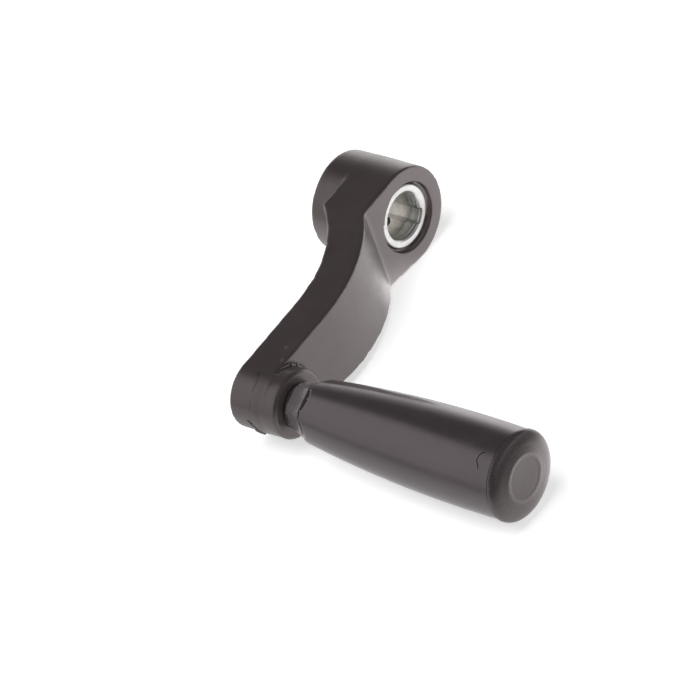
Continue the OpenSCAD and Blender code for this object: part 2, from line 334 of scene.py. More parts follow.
def ramp_node(tree, source, stops):
    """A colour ramp through (position, colour) stops."""
    node = tree.nodes.new("ShaderNodeValToRGB")
    ramp = node.color_ramp
    while len(ramp.elements) < len(stops):
        ramp.elements.new(0.5)
    for element, (position, colour) in zip(ramp.elements, stops):
        element.position = position
        element.color = (*colour, 1)
    tree.links.new(source, node.inputs["Fac"])
    return node.outputs["Color"]


def two_tone(tree, source, low, high, low_at=0.3, high_at=0.7):
    """A colour that goes from low to high as the source rises."""
    return ramp_node(tree, source, [(low_at, low), (high_at, high)])


def grey(value):
    return (value, value, value)


def math_node(tree, operation, first, second=None):
    """The result of an operation on two values, each a number or a socket."""
    node = tree.nodes.new("ShaderNodeMath")
    node.operation = operation
    for socket, value in zip(node.inputs, (first, second)):
        if isinstance(value, (int, float)):
            socket.default_value = value
        elif value is not None:
            tree.links.new(value, socket)
    return node.outputs[0]


def mix_colour(tree, factor, first, second, blend="MIX"):
    """Two colours mixed by a factor, each of the three a value or a socket."""
    node = tree.nodes.new("ShaderNodeMix")
    node.data_type = "RGBA"
    node.blend_type = blend
    sockets = [socket for socket in node.inputs if socket.type == "RGBA"]
    for socket, value in ((node.inputs[0], factor), (sockets[0], first), (sockets[1], second)):
        if isinstance(value, tuple):
            socket.default_value = (*value, 1)
        elif isinstance(value, (int, float)):
            socket.default_value = value
        else:
            tree.links.new(value, socket)
    return [socket for socket in node.outputs if socket.type == "RGBA"][0]


def fade(tree, value, zero_at, one_at):
    """Goes softly from 0 to 1 as the value goes from zero_at to one_at."""
    node = tree.nodes.new("ShaderNodeMapRange")
    node.interpolation_type = "SMOOTHSTEP"
    node.inputs["From Min"].default_value = zero_at
    node.inputs["From Max"].default_value = one_at
    tree.links.new(value, node.inputs["Value"])
    return node.outputs["Result"]


def linear(tree, value, start, end, low, high):
    """Goes evenly from low to high as the value goes from start to end."""
    node = tree.nodes.new("ShaderNodeMapRange")
    for socket, number in zip(("From Min", "From Max", "To Min", "To Max"), (start, end, low, high)):
        node.inputs[socket].default_value = number
    tree.links.new(value, node.inputs["Value"])
    return node.outputs["Result"]


def near_point(tree, place, reach):
    """1 at a place on the piece, falling to 0 at the reach from it."""
    distance = tree.nodes.new("ShaderNodeVectorMath")
    distance.operation = "DISTANCE"
    distance.inputs[1].default_value = place
    tree.links.new(object_place(tree), distance.inputs[0])
    return fade(tree, distance.outputs["Value"], reach, reach * SPOT_FULL)


def add_bump(tree, shader_node, height, distance, strength, under=None):
    """Bumps on the shader's surface, over those from under where they are given."""
    bump = tree.nodes.new("ShaderNodeBump")
    bump.inputs["Distance"].default_value = distance
    bump.inputs["Strength"].default_value = strength
    tree.links.new(height, bump.inputs["Height"])
    if under is not None:
        tree.links.new(under, bump.inputs["Normal"])
    tree.links.new(bump.outputs["Normal"], shader_node.inputs["Normal"])
    return bump.outputs["Normal"]


# Materials

# Painted light on the grip's hexagonal neck: a lighter colour over all its facets that stands in for the
# light they reflect
NECK_TONE = (0.115, 0.102, 0.104)
# Where it fades out: outwards, towards the body and at the neck's end, from nothing to full
NECK_TONE_OUT = (8.0 * MM, 7.2 * MM)
NECK_TONE_FRONT = (6.2 * MM, 5.2 * MM)
NECK_TONE_BACK = (0.2 * MM, 0.6 * MM)
# Paler colour along the crest of the cap's ring, and how far from the crest it starts and is full
RING_TONE = (0.085, 0.076, 0.077)
RING_TONE_REACH = (0.7 * MM, 0.2 * MM)


def from_grip_axis(tree):
    """Distance from the grip axis, and the place's own coordinates."""
    split = tree.nodes.new("ShaderNodeSeparateXYZ")
    tree.links.new(object_place(tree), split.inputs[0])
    across = math_node(tree, "SUBTRACT", split.outputs["X"], AXIS_X)
    up = math_node(tree, "SUBTRACT", split.outputs["Z"], AXIS_Z)
    squares = [math_node(tree, "MULTIPLY", side, side) for side in (across, up)]
    return math_node(tree, "SQRT", math_node(tree, "ADD", *squares)), split


def neck_mask(tree):
    """1 on the grip's hexagonal neck and 0 on the rest of the grip."""
    reach, split = from_grip_axis(tree)
    inside = fade(tree, reach, *NECK_TONE_OUT)
    front = fade(tree, split.outputs["Y"], *(NECK_Y - along for along in NECK_TONE_FRONT))
    back = fade(tree, split.outputs["Y"], *(NECK_Y - along for along in NECK_TONE_BACK))
    return math_node(tree, "MULTIPLY", inside, math_node(tree, "MULTIPLY", front, back))


def ring_mask(tree):
    """1 along the crest of the cap's ring."""
    reach, _ = from_grip_axis(tree)
    inner = fade(tree, reach, *(CAP_RING_R - side for side in RING_TONE_REACH))
    outer = fade(tree, reach, *(CAP_RING_R + side for side in RING_TONE_REACH))
    return math_node(tree, "MULTIPLY", inner, outer)


def black_plastic(name, dark, light, ior, rough, grain, tint=(1.0, 0.87, 0.87), smudges=(),
                  neck_painted_light=False, pale_ring=False):
    """Moulded black plastic: cloudy in tone and gloss, with soft smudges where they are given."""
    material, tree, bsdf = shader(name)
    bsdf.inputs["IOR"].default_value = ior
    bsdf.inputs["Specular Tint"].default_value = (*tint, 1)
    colour = two_tone(tree, noise_node(tree, *PLASTIC_CLOUDS), dark, light)
    for place, reach, tone, amount in smudges:
        share = math_node(tree, "MULTIPLY", near_point(tree, place, reach), amount)
        colour = mix_colour(tree, share, colour, tone)
    # Painted light: the neck's facets are coloured lighter to stand in for the light they reflect
    if neck_painted_light:
        colour = mix_colour(tree, neck_mask(tree), colour, NECK_TONE)
    if pale_ring:
        colour = mix_colour(tree, ring_mask(tree), colour, RING_TONE)
    tree.links.new(colour, bsdf.inputs["Base Color"])
    patches = noise_node(tree, *PLASTIC_PATCHES)
    tree.links.new(two_tone(tree, patches, grey(rough[0]), grey(rough[1])), bsdf.inputs["Roughness"])
    waves = noise_node(tree, *PLASTIC_WAVES)
    waved = add_bump(tree, bsdf, waves, PLASTIC_WAVE_HEIGHT, PLASTIC_WAVE_STRENGTH)
    add_bump(tree, bsdf, noise_node(tree, *PLASTIC_GRAIN), PLASTIC_GRAIN_HEIGHT, grain, waved)
    return material


def metal(name, colour, shade, rough_low, rough_high, stretch):
    """Turned metal with streaks of tone and gloss, drawn out by the stretch."""
    material, tree, bsdf = shader(name)
    bsdf.inputs["Metallic"].default_value = 1.0
    streaks = noise_node(tree, *METAL_STREAKS, stretch)
    tree.links.new(two_tone(tree, streaks, shade, colour), bsdf.inputs["Base Color"])
    tree.links.new(two_tone(tree, streaks, grey(rough_high), grey(rough_low)), bsdf.inputs["Roughness"])
    add_bump(tree, bsdf, streaks, METAL_STREAK_HEIGHT, METAL_STREAK_STRENGTH)
    return material


# Depths in the bush in mm, from its ring face, with the colour of the turned and plated wall there, over
# which bands of painted highlight and painted shade stand in for the bore's reflections, such as the bright
# crescent near 0.9 mm
BUSH_TONES = [
    (0.00, (0.88, 0.865, 0.85)),
    (0.30, (0.82, 0.81, 0.80)),
    (0.48, (0.34, 0.34, 0.33)),
    (0.74, (0.38, 0.38, 0.37)),
    (0.86, (0.90, 0.90, 0.88)),
    (1.08, (0.80, 0.80, 0.77)),
    (1.30, (0.31, 0.31, 0.30)),
    (1.80, (0.52, 0.53, 0.50)),
    (3.40, (0.56, 0.57, 0.54)),
    (3.90, (0.34, 0.345, 0.33)),
    (4.80, (0.66, 0.66, 0.62)),
    (6.20, (0.96, 0.93, 0.88)),
]
BUSH_TONES_DEPTH = 10.0
# How metallic the plating is, and how far its tones wander along the bore
BUSH_METALLIC = 0.7
BUSH_WANDER = 0.8 * MM
BUSH_WANDER_NOISE = (180, 2)
# Scale, detail and roughness of the turning marks, with their stretch, and of the plating's mottle
BUSH_RINGS = (2200, 3, 0.6, (0.12, 1, 0.12))
BUSH_MOTTLE = (700, 4, 0.6)
# Height and strength of the bumps that both make
BUSH_RING_BUMP = (0.02 * MM, 0.5)
BUSH_MOTTLE_BUMP = (0.1 * MM, 0.25)


def bush_steel():
    """Plated steel whose tone changes ring by ring down the bore, in bands of painted highlight and painted
    shade.
    """
    material, tree, bsdf = shader("bush_steel")
    bsdf.inputs["Metallic"].default_value = BUSH_METALLIC
    split = tree.nodes.new("ShaderNodeSeparateXYZ")
    tree.links.new(object_place(tree), split.inputs[0])
    wander = math_node(tree, "SUBTRACT", noise_node(tree, *BUSH_WANDER_NOISE), 0.5)
    wander = math_node(tree, "MULTIPLY", wander, BUSH_WANDER)
    depth = math_node(tree, "ADD", math_node(tree, "SUBTRACT", split.outputs["Y"], RING_Y), wander)
    share = math_node(tree, "DIVIDE", depth, BUSH_TONES_DEPTH * MM)
    # Painted highlight and painted shade: bands of colour down the bore that stand in for its reflections
    tones = ramp_node(tree, share, [(d / BUSH_TONES_DEPTH, tone) for d, tone in BUSH_TONES])
    rings = noise_node(tree, *BUSH_RINGS)
    mottle = noise_node(tree, *BUSH_MOTTLE)
    ring_shade = two_tone(tree, rings, grey(0.80), grey(1.0))
    mottle_shade = two_tone(tree, mottle, grey(0.88), grey(1.0), 0.32, 0.55)
    shade = mix_colour(tree, 1.0, tones, ring_shade, "MULTIPLY")
    shade = mix_colour(tree, 1.0, shade, mottle_shade, "MULTIPLY")
    tree.links.new(shade, bsdf.inputs["Base Color"])
    tree.links.new(two_tone(tree, mottle, grey(0.42), grey(0.28)), bsdf.inputs["Roughness"])
    ringed = add_bump(tree, bsdf, rings, *BUSH_RING_BUMP)
    add_bump(tree, bsdf, mottle, *BUSH_MOTTLE_BUMP, ringed)
    return material


# Smudges on the arm: place, reach, colour and strength
ARM_SMUDGES = [
    ((-0.05925, -0.03115, 0.00973), 0.8 * MM, (0.12, 0.11, 0.10), 0.5),
    ((-0.06315, -0.03273, 0.00948), 0.7 * MM, (0.12, 0.11, 0.10), 0.5),
    ((-0.06916, -0.02964, 0.00905), 1.1 * MM, (0.012, 0.010, 0.010), 0.8),
    ((-0.03896, -0.03358, -0.00774), 0.3 * MM, (0.01, 0.01, 0.01), 0.9),
]

# Darkest and lightest colour, refractive index, least and most roughness, and strength of the grain
arm_plastic = black_plastic("moulded_arm", (0.031, 0.025, 0.024), (0.039, 0.032, 0.031), 2.15, (0.30, 0.38),
                            0.25, smudges=ARM_SMUDGES)
grip_plastic = black_plastic("moulded_grip", (0.029, 0.023, 0.025), (0.036, 0.029, 0.032), 2.12, (0.19, 0.25),
                             0.02, tint=(1.0, 0.88, 0.94), neck_painted_light=True)
cap_plastic = black_plastic("moulded_cap", (0.030, 0.025, 0.026), (0.037, 0.031, 0.032), 2.15, (0.24, 0.30),
                            0.03, pale_ring=True)
dark_hair = black_plastic("dark_hair", (0.008, 0.005, 0.005), (0.014, 0.010, 0.010), 1.4, (0.5, 0.6), 0.1)
# Pale plastic for the specks: its light colour is a painted glint, the bright dots that their gloss would
# give
specks_painted_glint = black_plastic("specks_painted_glint", (0.22, 0.20, 0.20), (0.34, 0.32, 0.31), 1.5, (0.4, 0.5), 0.1)
bush_plating = bush_steel()
zinc_steel = metal("zinc_steel", (0.86, 0.85, 0.82), (0.70, 0.69, 0.66), 0.22, 0.34, (1, 0.1, 1))
black_steel = metal("black_steel", (0.07, 0.065, 0.06), (0.04, 0.037, 0.035), 0.35, 0.5, (1, 1, 1))
insert_brass = metal("insert_brass", (0.78, 0.60, 0.32), (0.62, 0.46, 0.22), 0.25, 0.4, (1, 0.2, 1))


# Arm: the construction's moulding in fine even cells, its edges rounded by smoothing

ARM_CELL = 0.35 * MM
# Strength and number of the smoothing steps
ARM_SOFTEN = (0.5, 14)
ARM_SHARP_DEG = 80
# Share of the smoothing at a crisp edge, and how far from the edge it starts to rise and is full
CRISP_WEIGHT = 0.16
CRISP_REACH = (0.5 * MM, 1.3 * MM)
# How far an edge lies in front of the arm's end, inside the hub's rim or off the hub's back
BOSS_MARGIN = 0.5 * MM
HUB_MARGIN = 1 * MM
# The low part of the arm starts here, towards the grip
LOW_ARM = 38 * MM
# Height of the moulding's waves, their two scales, the finer one's share, and what is taken off all over
UNEVEN = 0.035 * MM
UNEVEN_SCALES = (330, 800)
UNEVEN_FINE = 0.5
UNEVEN_SINK = 0.3
# The waves are full out to the first distance from the grip axis, and fall over the second to a least share
UNEVEN_FULL = 9 * MM
UNEVEN_FALL = 14 * MM
UNEVEN_LEAST = 0.15


def is_crisp(edge):
    """Whether an edge stays crisper than the arm's long soft outline."""
    middle = (edge.verts[0].co + edge.verts[1].co) / 2
    from_bore = math.hypot(middle.x, middle.z)
    from_grip = math.hypot(middle.x - AXIS_X, middle.z - AXIS_Z)
    at_boss = from_grip < ARM_END_R and middle.y < -END_FRONT - BOSS_MARGIN
    in_hub = from_bore < HUB_R - HUB_MARGIN
    at_back = middle.y > -HUB_MARGIN
    on_low_arm = middle.x < -LOW_ARM
    return at_boss or in_hub or at_back or on_low_arm


def uneven(mesh):
    """Shallow waves in the moulding, strongest round its small end."""
    normals = [vert.normal.copy() for vert in mesh.vertices]
    for vert, normal in zip(mesh.vertices, normals):
        from_grip = math.hypot(vert.co.x - AXIS_X, vert.co.z - AXIS_Z)
        share = max(UNEVEN_LEAST, 1 - max(0.0, from_grip - UNEVEN_FULL) / UNEVEN_FALL)
        coarse, fine = (noise.noise(vert.co * scale) for scale in UNEVEN_SCALES)
        wave = coarse + UNEVEN_FINE * fine
        vert.co += normal * UNEVEN * share * (wave - UNEVEN_SINK)


def make_arm():
    """Smooths each point of the moulding by its distance from the nearest crisp edge."""
    crisp = edge_points("arm", is_crisp, ARM_CELL)
    mesh = even_copy("arm", ARM_CELL)
    near, far = CRISP_REACH
    weights = []
    for vert in mesh.vertices:
        share = min(1.0, max(0.0, (crisp.find(vert.co)[2] - near) / (far - near)))
        weights.append(CRISP_WEIGHT + (1 - CRISP_WEIGHT) * share)
    piece = place_piece("arm_moulding", mesh, arm_plastic, "crank", ["arm"], ARM_SHARP_DEG)
    soften(piece, weights, *ARM_SOFTEN)
    uneven(piece.data)


# Radius in mm at which the flash stands round the arm's end
END_FLASH_R = 9.17
# Flash left by the mould there: (lean, height) marks, half width and height in mm
END_FLASH = [
    ([(9, 29.5), (14, 29.9), (20, 30.25), (27, 30.5), (40, 30.36)], 0.17, 0.11),
    ([(54, 30.22), (62, 30.2), (72, 30.1), (80, 29.8)], 0.10, 0.07),
    ([(92, 28.5), (95, 29.0), (99, 29.6)], 0.22, 0.20),
    ([(101, 29.2), (105, 29.8), (108, 30.4)], 0.16, 0.14),
    ([(112, 29.6), (120, 29.9), (127, 30.3), (132, 30.6)], 0.40, 0.45),
]
# Specks of flash on the arm, pale in colour as a painted glint: place and size in mm
PALE_SPECKS = [
    ((-62.35, -33.85, 7.95), 0.20),
    ((-61.22, -33.95, 7.25), 0.18),
    ((-60.60, -34.22, 7.00), 0.20),
    ((-76.72, -29.30, -0.55), 0.09),
    ((-76.60, -29.95, -1.75), 0.12),
    ((-76.35, -28.60, -2.50), 0.10),
]


# The lip of plastic over the bush's edge: its first and last lean in degrees, and over how many
# degrees it creeps in by how many mm, with how much raggedness
LIP_LEANS = (2, 67)
LIP_STEPS = 60
LIP_GROWS_OVER = 26
LIP_CREEP = 0.62
LIP_RAG = 0.05
# How fast the raggedness changes with the lean, and the line through the noise that it is read along
LIP_RAG_FINENESS = 0.6
LIP_RAG_LINE = (3, 1)
# Its outline, as distance outwards from its inner edge or from the bush's edge, and depth, in mm
LIP_INNER = [(0.06, 0.02), (0, -0.03), (0.12, -0.09)]
LIP_OUTER = [(0.15, -0.09), (0.3, 0.45), (-0.1, 0.45)]


def end_ridge(marks, half_width, height):
    """A ridge round the arm's end through (lean, height) marks."""
    marks = smooth_path(marks, steps=6)
    path = [on_end(lean, up, END_FLASH_R) for lean, up in marks]
    outward = [on_end(lean, up, END_FLASH_R) - on_end(lean, up, 0) for lean, up in marks]
    return ridge(path, outward, half_width * MM, height * MM)


def bush_flash():
    """A thin lip of plastic that creeps over the bush's edge on the side towards the arm."""
    rings = []
    for lean in evenly(*LIP_LEANS, LIP_STEPS):
        creep = min(1.0, (lean - LIP_LEANS[0]) / LIP_GROWS_OVER)
        rag = LIP_RAG * noise.noise(Vector((lean * LIP_RAG_FINENESS, *LIP_RAG_LINE)))
        inner = (BUSH_R / MM - LIP_CREEP * creep + rag) * MM
        turn = math.radians(lean)
        out = Vector((-math.sin(turn), 0, math.cos(turn)))
        outline = [(inner + reach * MM, depth * MM) for reach, depth in LIP_INNER]
        outline += [(BUSH_R + reach * MM, depth * MM) for reach, depth in LIP_OUTER]
        rings.append([out * reach + Vector((0, RING_Y + depth, 0)) for reach, depth in outline])
    return outward_mesh("hub_flash", *loft(rings, closed=False, capped=True))


def make_flash():
    """The arm's flash ridges, the lip over the bush's edge and the pale specks, whose colour is a painted
    glint.
    """
    chance = random.Random(4)
    shells = [end_ridge(*flash) for flash in END_FLASH]
    mesh = outward_mesh("end_flash", *join_shells(shells))
    place_piece("arm_end_flash", mesh, arm_plastic, "crank")
    place_piece("hub_flash", bush_flash(), arm_plastic, "crank")
    specks = [lump(Vector(place) * MM, size * MM, chance) for place, size in PALE_SPECKS]
    mesh = outward_mesh("arm_specks", *join_shells(specks))
    place_piece("arm_specks", mesh, specks_painted_glint, "crank")


# Bush: rings round the bore axis, keyed ones down the bore and then plain ones back outside

BUSH_SHARP_DEG = 30
BORE_R = 6 * MM
# The bore is wider by this at its back end
BORE_END_FLARE = 0.06 * MM
# Bevel outside at the front, and the plain ring on the front face that lies outside the keyway
BUSH_EDGE = 0.3 * MM
RING_FACE_R = 7.4 * MM
KEY_HALF = 2 * MM
KEY_FLOOR = 6.9 * MM
KEY_TURN = math.radians(141)
# Roundness of the keyway's edges at the mouth and behind it, and the mouth's depth
KEY_SOFT = (0.5 * MM, 1.9 * MM)
KEY_MOUTH = 0.9 * MM
# Rounding makes the keyway a little shallower, so its floor starts deeper by this
KEY_FLOOR_EXTRA = 0.08 * MM
# The corners along its floor are rounder than its edges by this factor
KEY_CORNER = 1.4
# Points that face further from the keyway than this cosine are on the plain wall
KEY_FACING = 0.5
# Steps over the keyway's floor, each side and the round wall, and the angle by which a side's steps run
# past its edge
KEY_FLOOR_STEPS = 24
KEY_SIDE_STEPS = 14
BORE_STEPS = 160
KEY_SIDE_PAST = 0.2
SCREW_TURN = math.radians(100)
SCREW_R = 2 * MM
SCREW_STEPS = 64
# The set screw's hole is cut from inside the bore to outside the bush
SCREW_WAY = (3 * MM, 10 * MM)
# Grooves outside that lock the bush in the hub: distance from each end, half width and depth
LOCK_AT = 4 * MM
LOCK_HALF = 1 * MM
LOCK_DEPTH = 0.6 * MM
# Radius and depth along the bore's wall, in mm: two shallow turned steps break it
BORE_WALL = [
    (6.86, 0.00), (6.80, 0.03), (6.03, 0.78), (6.00, 0.84), (6.00, 1.22), (6.07, 1.30), (6.07, 1.62),
    (6.00, 1.70), (6.00, 3.45), (6.06, 3.55), (6.06, 4.55), (6.00, 4.75), (6.00, 20.14),
]


def bush_ring(radius, depth):
    """Points round the bore axis that step out into the keyway."""
    corner = math.atan2(KEY_HALF, KEY_FLOOR)
    side = math.asin(KEY_HALF / radius) + KEY_SIDE_PAST
    leans = evenly(-corner, corner, KEY_FLOOR_STEPS)
    leans += evenly(corner, side, KEY_SIDE_STEPS)[1:]
    leans += evenly(side, 2 * math.pi - side, BORE_STEPS)[1:]
    leans += evenly(2 * math.pi - side, 2 * math.pi - corner, KEY_SIDE_STEPS)[1:-1]
    points = []
    for lean in leans:
        reach = radius
        if math.cos(lean) > KEY_FACING:
            worn = KEY_SOFT[0] if depth < KEY_MOUTH else KEY_SOFT[1]
            to_side = KEY_HALF / max(abs(math.sin(lean)), 1e-6)
            key = soft_min(KEY_FLOOR + KEY_FLOOR_EXTRA, to_side, worn * KEY_CORNER)
            reach = -soft_min(-radius, -key, worn)
        turn = KEY_TURN + lean
        points.append((-reach * math.cos(turn), RING_Y + depth, -reach * math.sin(turn)))
    return points


def make_bush():
    """The bush as one closed loft, with the set screw's hole cut through its wall."""
    rings = [bush_ring(radius * MM, depth * MM) for radius, depth in BORE_WALL]
    rings.append(bush_ring(BORE_R + BORE_END_FLARE, BUSH_LEN))
    outside = [(BUSH_R, BUSH_LEN)]
    for lock in (BUSH_LEN - LOCK_AT, LOCK_AT):
        outside += [(BUSH_R, lock + LOCK_HALF), (BUSH_R - LOCK_DEPTH, lock + LOCK_HALF),
                    (BUSH_R - LOCK_DEPTH, lock - LOCK_HALF), (BUSH_R, lock - LOCK_HALF)]
    outside += [(BUSH_R, BUSH_EDGE), (BUSH_R - BUSH_EDGE, 0), (RING_FACE_R, 0)]
    rings += [plain_ring(radius, depth) for radius, depth in outside]
    mesh = outward_mesh("bush_turned", *loft(rings, closed=True))
    piece = place_piece("hub_bush_turned", mesh, bush_plating, "crank", ["hub_bush"],
                        BUSH_SHARP_DEG)
    bore_through(piece)


def plain_ring(radius, depth):
    """A round ring whose points stand at the same turns as a keyed ring's."""
    points = bush_ring(BORE_R, depth)
    return [(radius * x / math.hypot(x, z), y, radius * z / math.hypot(x, z)) for x, y, z in points]


def bore_through(piece):
    """Cuts the set screw's hole through the bush's wall."""
    out = Vector((-math.cos(SCREW_TURN), 0, -math.sin(SCREW_TURN)))
    side = Vector((0, 1, 0)).cross(out)
    middle = RING_Y + BUSH_LEN / 2
    turns = [2 * math.pi * k / SCREW_STEPS for k in range(SCREW_STEPS)]
    rings = []
    for reach in SCREW_WAY:
        rings.append([out * reach + side * SCREW_R * math.cos(turn)
                      + Vector((0, middle + SCREW_R * math.sin(turn), 0)) for turn in turns])
    mesh = outward_mesh("screw_way", *loft(rings, closed=False, capped=True))
    cutter = bpy.data.objects.new("screw_way", mesh)
    bpy.context.scene.collection.objects.link(cutter)
    cut = piece.modifiers.new("screw_way", "BOOLEAN")
    cut.operation = "DIFFERENCE"
    cut.solver = "EXACT"
    cut.object = cutter
    done = evaluated_mesh(piece)
    piece.modifiers.remove(cut)
    piece.data = done
    bpy.data.objects.remove(cutter)
    bpy.data.meshes.remove(mesh)


# Grip: a long swelling round body whose start is cut to a hexagonal neck

# The round body: its widest radius, the radius of the arc along its side, and where it is widest
GRIP_R = 11.5 * MM
SWELL_R = 400 * MM
SWELL_AT = 57 * MM
# The flats: their distance from the axis at the neck's end, the neck's turn, and how they slope out to the
# neck's length and then run out faster
NECK_FLAT = 5.3 * MM
NECK_TURN = math.radians(5)
NECK_SLOPE = math.tan(math.radians(16.5))
NECK_LEN = 5.7 * MM
NECK_RUNOUT = math.tan(math.radians(32))
# The corners between them are rounded off at this many times the flats' distance, and run out after this
CORNER_WIDEN = 1.1
CORNER_LEN = 5.85 * MM
# A flat is left out where it is this many times further out than the body, or faces further away than
# this cosine
FLAT_PAST = 1.2
FLAT_FACING = 0.2
# How ragged the flats' ends are, how finely that changes round the neck and along it, and how round the
# flats' edges and ends are
NECK_RAG = 0.12 * MM
NECK_RAG_FINENESS = (5, 500)
NECK_EDGE = 0.10 * MM
NECK_END = 0.22 * MM
# The collar at the neck's end: its radius, its length, how far it stands out towards the boss, and its
# bevel's width and depth
COLLAR_R = 5.9 * MM
COLLAR_LEN = 0.3 * MM
COLLAR_OUT = 0.15 * MM
COLLAR_BEVEL = (0.1 * MM, 0.05 * MM)
# The hollow inside: the axle's bore, and the room for the screw's head and the cap's plug
GRIP_BORE_R = 4.05 * MM
ROOM_R = 7.5 * MM
ROOM_LEN = 12 * MM
RIM_BEVEL = 0.3 * MM
GRIP_TURNS = 360
# Start, end and step of the rings over the neck, and then over the body
NECK_ROWS = (0.12 * MM, 12 * MM, 0.11 * MM)
BODY_ROWS = (13 * MM, GRIP_LEN - RIM_BEVEL, 1.4 * MM)


def swell(along):
    """The round body's radius."""
    return GRIP_R - SWELL_R + math.sqrt(SWELL_R ** 2 - (along - SWELL_AT) ** 2)


def neck_width(along, length):
    """Distance of a flat from the grip axis: it slopes out gently over the length and then faster."""
    if along < length:
        return NECK_FLAT + along * NECK_SLOPE
    return NECK_FLAT + length * NECK_SLOPE + (along - length) * NECK_RUNOUT


def grip_radius(turn, along):
    """The grip's radius: the six flats, their rounded corners and the collar, inside the round body."""
    body = swell(along)
    fine_round, fine_along = NECK_RAG_FINENESS
    spot = Vector((math.cos(turn) * fine_round, math.sin(turn) * fine_round, along * fine_along))
    ragged = NECK_RAG * noise.noise(spot)
    distance = neck_width(along + ragged, NECK_LEN)
    if distance > body * FLAT_PAST:
        return body
    radius = CORNER_WIDEN * neck_width(along, CORNER_LEN)
    for k in range(6):
        lean = math.cos(turn - NECK_TURN - k * math.pi / 3)
        if lean > FLAT_FACING:
            radius = soft_min(radius, distance / lean, NECK_EDGE)
    if along < COLLAR_LEN:
        radius = max(radius, COLLAR_R)
    return soft_min(radius, body, NECK_END)


def grip_ring(radius_of, along):
    """A ring round the grip axis, whose radius may change with the turn."""
    turns = [2 * math.pi * k / GRIP_TURNS for k in range(GRIP_TURNS)]
    return [about_grip(radius_of(turn, along), turn, along) for turn in turns]


def make_grip():
    """The grip as one closed loft: outside from the collar to the rim, and back through the hollow."""
    rings = [grip_ring(lambda turn, along: COLLAR_R - COLLAR_BEVEL[0], -COLLAR_OUT)]
    rings.append(grip_ring(lambda turn, along: COLLAR_R, COLLAR_BEVEL[1] - COLLAR_OUT))
    for along in spaced(*NECK_ROWS) + spaced(*BODY_ROWS):
        rings.append(grip_ring(grip_radius, along))
    for radius, along in [
        (swell(GRIP_LEN) - RIM_BEVEL, GRIP_LEN),
        (ROOM_R, GRIP_LEN),
        (ROOM_R, GRIP_LEN - ROOM_LEN),
        (GRIP_BORE_R, GRIP_LEN - ROOM_LEN),
        (GRIP_BORE_R, -COLLAR_OUT),
    ]:
        rings.append(grip_ring(lambda turn, s: radius, along))
    mesh = outward_mesh("grip_round", *loft(rings, closed=True))
    place_piece("grip_moulding", mesh, grip_plastic, "turning_grip", ["grip"])


# A dark hair lies moulded into the grip near its end: (lean, height) marks
GRIP_HAIR = [(22.5, 104.6), (24.5, 103.9), (28.5, 103.35), (34.5, 103.15), (39.6, 103.85), (44.5, 104.15)]
HAIR_HALF_WIDTH = 0.13 * MM
HAIR_HEIGHT = 0.06 * MM
# Bits of flash on the neck, pale in colour as a painted glint: lean, height, radius, size in mm
NECK_BITS = [
    (44.8, 39.79, 5.96, 0.14),
    (45.4, 41.36, 6.46, 0.12),
    (50.3, 44.06, 7.55, 0.14),
    (46.5, 45.40, 8.22, 0.17),
    (23.1, 46.50, 8.24, 0.13),
    (7.0, 46.23, 8.40, 0.13),
]


def make_grip_marks():
    """The hair in the grip and the bits of flash on its neck."""
    chance = random.Random(9)
    marks = smooth_path(GRIP_HAIR, steps=5)
    radii = [swell(height * MM + NECK_Y) / MM for lean, height in marks]
    path = [on_end(lean, height, radius) for (lean, height), radius in zip(marks, radii)]
    outward = [on_end(lean, height, 1) - on_end(lean, height, 0) for lean, height in marks]
    mesh = outward_mesh("grip_hair", *ridge(path, outward, HAIR_HALF_WIDTH, HAIR_HEIGHT))
    place_piece("grip_hair", mesh, dark_hair, "turning_grip")
    bits = [lump(on_end(lean, height, radius), size * MM, chance) for lean, height, radius, size in NECK_BITS]
    mesh = outward_mesh("neck_bits", *join_shells(bits))
    place_piece("neck_bits", mesh, specks_painted_glint, "turning_grip")


# End cap: rounded rim, gentle dome, raised ring and dished middle, with its plug

CAP_R = cap_high.x - AXIS_X
CAP_TURNS = 192
# Radius and height of the cap's rounded rim and low dome, in mm
CAP_DOME = [
    (11.57, 0.28), (11.53, 0.52), (11.44, 0.76), (11.30, 0.98), (11.10, 1.18), (10.85, 1.36), (10.55, 1.52),
    (10.20, 1.67), (9.80, 1.80), (9.35, 1.92), (8.85, 2.02), (8.30, 2.10), (7.70, 2.16),
]
# The raised ring's half width and height, and how far the dish's middle lies below its crest
CAP_RING_HALF = 1.2 * MM
CAP_RING_H = 0.13 * MM
CAP_DISH = 0.3 * MM
# Shares of the way to the dish's middle at which its rings stand
CAP_DISH_SHARES = (0.12, 0.3, 0.5, 0.7, 0.85, 1)
SEAM_BEVEL = 0.1 * MM
PLUG_R = 7.45 * MM
PLUG_LEN = 4.6 * MM
PLUG_WALL = 1 * MM
PLUG_ROOT = 1.2 * MM


def cap_profile():
    """Radius and height over the seam, from the plug's inner middle to the dish's middle."""
    foot_h = CAP_H - CAP_RING_H
    points = [(0, -PLUG_ROOT), (PLUG_R - PLUG_ROOT, -PLUG_ROOT), (PLUG_R - PLUG_WALL, -PLUG_LEN),
              (PLUG_R, -PLUG_LEN), (PLUG_R, 0), (CAP_R - SEAM_BEVEL, 0), (CAP_R, SEAM_BEVEL)]
    points += [(radius * MM, height * MM) for radius, height in smooth_path(CAP_DOME, steps=2)]
    for turn in range(-90, 91, 10):
        t = math.radians(turn)
        points.append((CAP_RING_R - CAP_RING_HALF * turn / 90, foot_h + CAP_RING_H * math.cos(t) ** 2))
    dish_out = CAP_RING_R - CAP_RING_HALF
    drop = CAP_DISH - CAP_RING_H
    for share in CAP_DISH_SHARES:
        points.append((dish_out * (1 - share), foot_h - drop * (1 - (1 - share) ** 2)))
    return points


